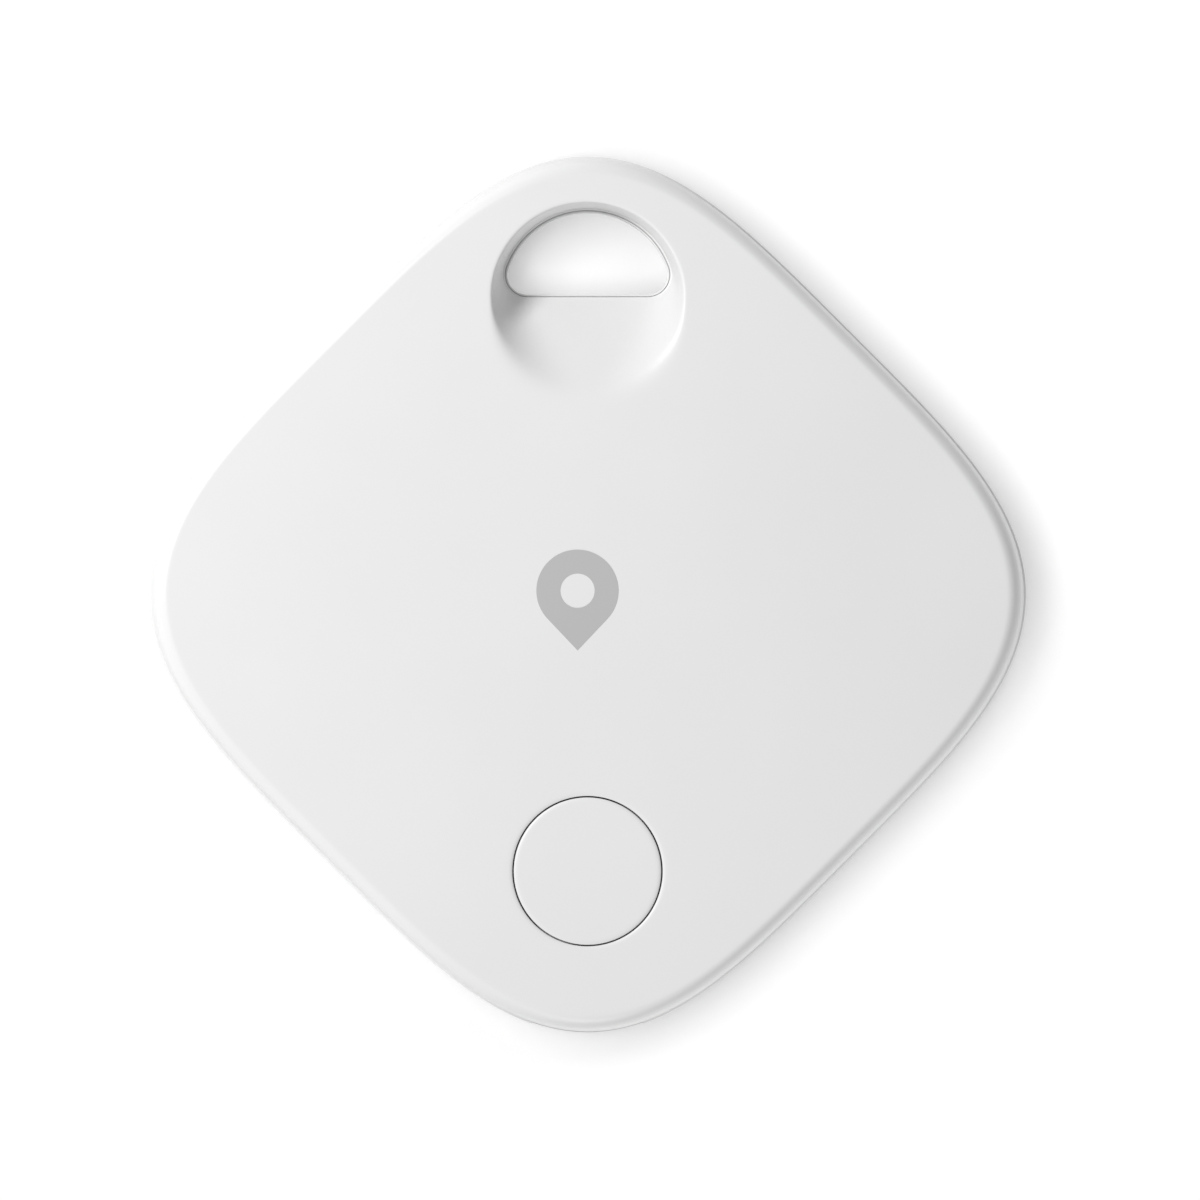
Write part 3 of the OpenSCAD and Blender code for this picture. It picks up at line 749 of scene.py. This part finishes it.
def make_button():
    """The button cap: domed face, flange under the seat, skirt, and the post over the plunger."""
    skin = Skin()
    rings = []
    for r in np.linspace(0.2, BUTTON_R - BUTTON_EDGE_W - 0.1, 14):
        x, y = circle(r, BUTTON_Y, BUTTON_SIDES)
        rings.append((x, y, dome(x, y)))
    for a in np.radians([0, 18, 36, 54, 72, 90]):
        x, y = circle(BUTTON_R - BUTTON_EDGE_W * (1 - math.sin(a)), BUTTON_Y, BUTTON_SIDES)
        rings.append((x, y, dome(x, y) - BUTTON_EDGE_H * (1 - math.cos(a))))
    roof_z, skirt_z, post_z = 6.95, 6.18, 6.44
    for r, z in [(BUTTON_R, FLANGE_Z), (4.6, FLANGE_Z), (4.6, skirt_z), (3.2, skirt_z), (3.2, roof_z),
                 (0.9, roof_z), (0.9, post_z)]:
        rings.append((*circle(r, BUTTON_Y, BUTTON_SIDES), z))
    first, last = skin.sleeve(rings)
    skin.fan(first, 0, BUTTON_Y, dome(0, BUTTON_Y))
    skin.fan(last, 0, BUTTON_Y, post_z)
    settle(skin.piece("button_cap_shell", button_plastic), "button", "button_plastic", "button_cap")


# Printed mark

def make_mark():
    """A plain map pin: a ring whose outer line runs down to a point, in a thin layer of ink."""
    x0, y0 = -0.54, -0.27
    head_r, hole_r, height = 2.2, 0.92, 5.4
    lift, sunk = 0.012, -0.03
    head_y = y0 + height / 2 - head_r
    tangent = math.acos(head_r / (height - head_r))
    a = turn(144)
    down = np.abs((a + 1.5 * math.pi) % (2 * math.pi) - math.pi)
    side = head_r / np.cos(np.maximum(tangent - down, 0))
    outer = np.where(down < tangent, side, head_r)
    rings = []
    for share, rise in [(0, sunk), (0, lift), (0.33, lift), (0.67, lift), (1, lift), (1, sunk),
                        (0, sunk)]:
        r = hole_r + (outer - hole_r) * share
        x, y = x0 + r * np.cos(a), head_y + r * np.sin(a)
        rings.append((x, y, dome(x, y) + rise))
    skin = Skin()
    skin.sleeve(rings)
    settle(skin.piece("printed_pin", ink), "housing", "print_grey")


# Coin cell and what holds it

def cad_box(node):
    """A CAD node's middle, lowest and highest height, in millimetres."""
    low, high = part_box(node)
    return (low.x + high.x) / 2 / MM, (low.y + high.y) / 2 / MM, low.z / MM, high.z / MM


def make_battery():
    """The coin cell's can with its rolled rim, its stepped cap, and the plus sign on the can."""
    x, y, low, _ = cad_box("battery_can")
    can = Skin()
    can.turned([[0, 0], [9.5, 0], [9.86, 0.1], [10, 0.4], [10, 2.65], [9.88, 2.93], [9.5, 3.08],
                [9.33, 2.95], [9.75, 2.6], [9.75, 0.5], [9.5, 0.25], [0, 0.25]], x, y, low)
    settle(can.piece("battery_can_shell", can_steel), "battery", "can_steel", "battery_can")
    cap = Skin()
    cap.turned([[0, 3.2], [7.3, 3.2], [7.42, 3.15], [8.3, 3.15], [8.62, 3.08], [8.8, 2.8], [9, 1.05],
                [9, 1], [8.75, 1], [8.55, 2.75], [8.4, 2.93], [0, 2.93]], x, y, low)
    settle(cap.piece("battery_cap_shell", cap_steel), "battery", "cap_steel", "battery_cap")
    plus = Skin()
    for angle in (0, 90):
        plus.bar(x, y, 4.4, 0.7, angle, low - 0.012, low + 0.05)
    settle(plus.piece("battery_plus_mark", tin), "battery", "can_steel")


def make_switch_dome():
    """Steel dome under the switch's plunger, drawn at rest with a mesh of its own; the real dome
    flattens as the button goes down.
    """
    x, y, low, high = cad_box("switch_dome")
    rise = high - low
    share = np.linspace(0, 1, 13)
    arch = 1 - share ** 2.4
    skin = Skin()
    skin.turned([*zip(1.15 * share, (rise - 0.07) * arch), *zip(1.25 * share[::-1], rise * arch[::-1])],
                x, y, low, rounding=0.005)
    piece = skin.piece("switch_dome_shell", dome_steel)
    settle(piece, "housing", "spring_steel", "switch_dome")
    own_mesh(piece)


def make_foam_pad():
    """Die-cut foam disc, a little crowned, with a pressed-in rim."""
    x, y, low, high = cad_box("battery_pad")
    radius, thick = 8.0, high - low
    crown = [[r, thick - 0.03 * (r / radius) ** 4 - 0.004 * math.cos(r * 2.1)]
             for r in np.arange(0, 7.9, 0.25)]
    skin = Skin()
    skin.turned([[0, 0], [radius, 0], [radius, thick * 0.6], [radius - 0.08, thick * 0.78],
                 *crown[::-1]], x, y, low, rounding=0.02)
    piece = skin.piece("foam_pad", foam)
    settle(piece, "rear_lid", "foam", "battery_pad")


def make_screws():
    """Two thread-forming screws, their cross-recessed heads towards the rear."""
    _, y, low, high = cad_box("tray_screws")
    head_r, head_h, body_r, pitch = 1.25, 0.6, 0.7, 0.45
    a = turn(144)
    skin = Skin()
    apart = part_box("tray_screws")[1].x / MM - head_r
    for x in (-apart, apart):
        def ring(radius, height):
            return x + radius * np.cos(a), y + radius * np.sin(a), height

        rings = []
        for r in np.linspace(0.03, head_r - 0.2, 40):
            across = np.minimum(np.abs(r * np.cos(a)), np.abs(r * np.sin(a)))
            cut = smoothstep((0.2 - across) / 0.06) * smoothstep((0.78 - r) / 0.12)
            rings.append(ring(r, low + 0.05 * (r / head_r) ** 2 + 0.32 * cut * (1 - 0.5 * r)))
        for b in np.radians(np.linspace(15, 90, 6)):
            rings.append(ring(head_r - 0.2 + 0.2 * math.sin(b), low + 0.03 + 0.22 * (1 - math.cos(b))))
        rings += [ring(head_r, low + head_h), ring(body_r - 0.1, low + head_h)]
        for z in np.arange(low + head_h + 0.05, high - 0.25, pitch / 10):
            phase = (z / pitch + a / (2 * math.pi)) % 1
            rings.append(ring(body_r - 0.12 + 0.12 * np.maximum(0, 1 - np.abs(phase - 0.5) * 3.2), z))
        rings += [ring(body_r - 0.15, high - 0.2), ring(body_r - 0.35, high)]
        first, last = skin.sleeve(rings)
        skin.fan(first, x, y, low + 0.32)
        skin.fan(last, x, y, high)
    settle(skin.piece("tray_screw_pair", screw_steel, sharp=30), "housing", "screw_steel", "tray_screws")


# Printed circuit

def route(start, end):
    """A track's way from start to end: slanted at 45 degrees, then straight on."""
    (x0, y0), (x1, y1) = start, end
    across, up = x1 - x0, y1 - y0
    slant = min(abs(across), abs(up))
    bend = (x0 + math.copysign(slant, across), y0 + math.copysign(slant, up))
    return [start, end] if slant < 0.05 or math.dist(bend, end) < 0.05 else [start, bend, end]


def make_board_rear():
    """Pads, vias and tracks on the board's rear, round the coin cell."""
    _, _, board_z, _ = cad_box("circuit_board")
    cell_y = CELL_Y / MM
    pad_z, via_z, track_z, within_z = board_z - 0.03, board_z - 0.028, board_z - 0.018, board_z + 0.02
    pads, tracks = Skin(), Skin()
    vias = []
    for a in (45, 135, 225, 315):
        out = math.radians(a)
        pads.bar(6.7 * math.cos(out), cell_y + 6.7 * math.sin(out), 1.7, 2.3, a, pad_z, within_z)
    for x in (-3.3, -1.1, 1.1, 3.3):
        pads.rod(x, -16.9, 0.62, pad_z, within_z, bevel=0.01)
        vias.append((x * 1.3, -9.9))
        tracks.track(route((x, -16.4), vias[-1]), 0.22, track_z, within_z)
    for side in (-1, 1):
        for k in range(4):
            vias.append((side * (8.2 + 0.25 * k), 1.8 - 0.9 * k))
            start = (side * (13.4 - 0.2 * k), 4.6 - 0.8 * k)
            tracks.track(route(start, vias[-1]), 0.2, track_z, within_z)
            vias.append(start)
        for k in range(3):
            vias.append((side * (1.0 + 0.8 * k), 7.3 - 0.5 * k))
            start = (side * (2.2 + 0.8 * k), cell_y + 4.0)
            tracks.track(route(start, vias[-1]), 0.2, track_z, within_z)
            vias.append(start)
        for k in range(3):
            pads.bar(side * (9.6 + 1.3 * k), -9.4 + 1.15 * k, 0.9, 0.55, side * 45, pad_z, within_z)
        pads.rod(side * 12.6, 8.2, 0.8, pad_z, within_z, bevel=0.01)
    for x, y in vias:
        pads.rod(x, y, 0.24, via_z, within_z, bevel=0.01, count=24)
    settle(pads.piece("board_rear_pads", pad_gold), "housing", "contact_gold")
    settle(tracks.piece("board_rear_tracks", track_green), "housing", "board_laminate")


def solids(node):
    """Corner points of each separate solid in a CAD node, in millimetres."""
    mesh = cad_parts[node].data
    points = np.array([v.co for v in mesh.vertices]) / MM
    _, first = np.unique(np.round(points, 3), axis=0, return_inverse=True)
    first = first.ravel()
    group = np.arange(first.max() + 1)
    edges = first[np.array([e.vertices[:] for e in mesh.edges])]
    for _ in range(len(group)):
        linked = group.copy()
        np.minimum.at(linked, edges[:, 0], group[edges[:, 1]])
        np.minimum.at(linked, edges[:, 1], group[edges[:, 0]])
        if (linked == group).all():
            break
        group = linked
    labels = group[first]
    return [points[labels == k] for k in np.unique(labels)]


def lying(points):
    """Middle, length, width, angle in degrees and heights of a box-shaped chip that lies flat."""
    middle = points[:, :2].mean(0)
    corners = points[:, :2] - middle
    best = None
    for angle in (0, 45, 90, 135):
        a = math.radians(angle)
        along = corners @ np.array([math.cos(a), math.sin(a)])
        across = corners @ np.array([-math.sin(a), math.cos(a)])
        size = (np.ptp(along), np.ptp(across))
        if best is None or size[0] * size[1] < best[0] - 1e-6:
            best = (size[0] * size[1], size, angle)
    (length, width), angle = best[1], best[2]
    if width > length:
        length, width, angle = width, length, angle + 90
    return middle, length, width, angle, points[:, 2].min(), points[:, 2].max()


def make_chip_ends():
    """Tinned ends on the small chips, and the solder that joins them to the board."""
    skin = Skin()
    for node in ("chip_capacitors", "chip_resistors", "chip_antenna", "clock_crystal"):
        for chip in solids(node):
            middle, length, width, angle, low, high = lying(chip)
            a = math.radians(angle)
            cap = length * 0.22
            for side in (-1, 1):
                reach_out = side * (length / 2 - cap / 2 + 0.01)
                x, y = middle + reach_out * np.array([math.cos(a), math.sin(a)])
                skin.bar(x, y, cap, width + 0.02, angle, low, high + 0.01)
                x, y = middle + side * (length / 2 + 0.08) * np.array([math.cos(a), math.sin(a)])
                skin.bar(x, y, 0.3, width + 0.1, angle, low - 0.02, low + 0.06)
    settle(skin.piece("chip_ends", tin), "housing", "terminal_tin")


def make_chip_leads():
    """Rows of solder pads round the two flat chips."""
    skin = Skin()
    for node, count in (("radio_chip", 8), ("motion_sensor", 3)):
        x0, y0, low, _ = cad_box(node)
        half = (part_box(node)[1].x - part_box(node)[0].x) / 2 / MM
        for angle in (0, 90, 180, 270):
            a = math.radians(angle)
            for k in np.linspace(-0.8, 0.8, count) * half:
                x = x0 + (half + 0.08) * math.cos(a) - k * math.sin(a)
                y = y0 + (half + 0.08) * math.sin(a) + k * math.cos(a)
                skin.bar(x, y, 0.35, half * 0.1, angle, low - 0.02, low + 0.1)
    settle(skin.piece("chip_leads", tin), "housing", "terminal_tin")


# Light, floor and camera

def area_light(name, azimuth, elevation, power, lit, distance=0.6):
    """A round soft light that faces the tag and shines on the objects in one collection only."""
    data = bpy.data.lights.new(name, "AREA")
    data.shape = "DISK"
    data.size = distance * 0.37
    data.energy = power
    light = bpy.data.objects.new(name, data)
    a, e = math.radians(azimuth), math.radians(elevation)
    towards = Vector((math.cos(a) * math.cos(e), math.sin(a) * math.cos(e), math.sin(e)))
    light.location = towards * distance + Vector((0, 0, THICK / 2 * MM))
    light.rotation_euler = (-towards).to_track_quat("-Z", "Y").to_euler()
    light.visible_camera = False
    light.light_linking.receiver_collection = lit
    bpy.context.scene.collection.objects.link(light)


def gathered(name, objects):
    """A collection for light linking, which isn't part of the scene."""
    group = bpy.data.collections.new(name)
    for thing in objects:
        group.objects.link(thing)
    return group


def make_stage():
    """A self-lit pale floor. It has lights of its own, so that its shadows stay short and soft."""
    tag = gathered("tag", [thing for thing in bpy.data.objects if thing.type == "MESH"])
    bpy.ops.mesh.primitive_plane_add(size=6)  # metres
    floor = bpy.context.object
    floor.name = "studio_floor"
    white = (1, 1, 1, 1)
    material, _, _ = new_material("pale_floor", Base_Color=(0.93, 0.93, 0.93, 1), Roughness=0.9,
                                  Specular_IOR_Level=0.1, Emission_Color=white,
                                  Emission_Strength=0.115)
    floor.data.materials.append(material)
    world = bpy.data.worlds.new("studio")
    world.use_nodes = True
    sky = world.node_tree.nodes["Background"]
    sky.inputs["Color"].default_value = white
    sky.inputs["Strength"].default_value = 0.4255
    bpy.context.scene.world = world
    paper = gathered("paper", [floor])
    area_light("key_left", azimuth=150, elevation=45, power=1.238, lit=tag, distance=0.38)
    area_light("fill_front", azimuth=270, elevation=20, power=0.981, lit=tag)
    area_light("floor_left", azimuth=150, elevation=70, power=0.749, lit=paper)
    area_light("floor_overhead", azimuth=210, elevation=80, power=0.984, lit=paper)
    area_light("floor_right", azimuth=60, elevation=65, power=0.513, lit=paper)
    bpy.context.scene.view_settings.view_transform = "Standard"


def make_camera():
    """Straight above the tag, from far off, with the tag a little off the view's middle."""
    distance = 1.5
    frame_width = CORNER * 2 * MM / TAG_SHARE
    data = bpy.data.cameras.new("camera")
    data.lens = distance * data.sensor_width / frame_width
    camera = bpy.data.objects.new("camera", data)
    camera.location = (0.67 * MM, -0.27 * MM, SPLIT * MM + distance)
    bpy.context.scene.collection.objects.link(camera)
    bpy.context.scene.camera = camera


make_camera()
make_front_cover()
make_rear_cover()
make_button()
make_mark()
make_battery()
make_switch_dome()
make_foam_pad()
make_screws()
make_board_rear()
make_chip_ends()
make_chip_leads()
finish_nodes()
make_stage()
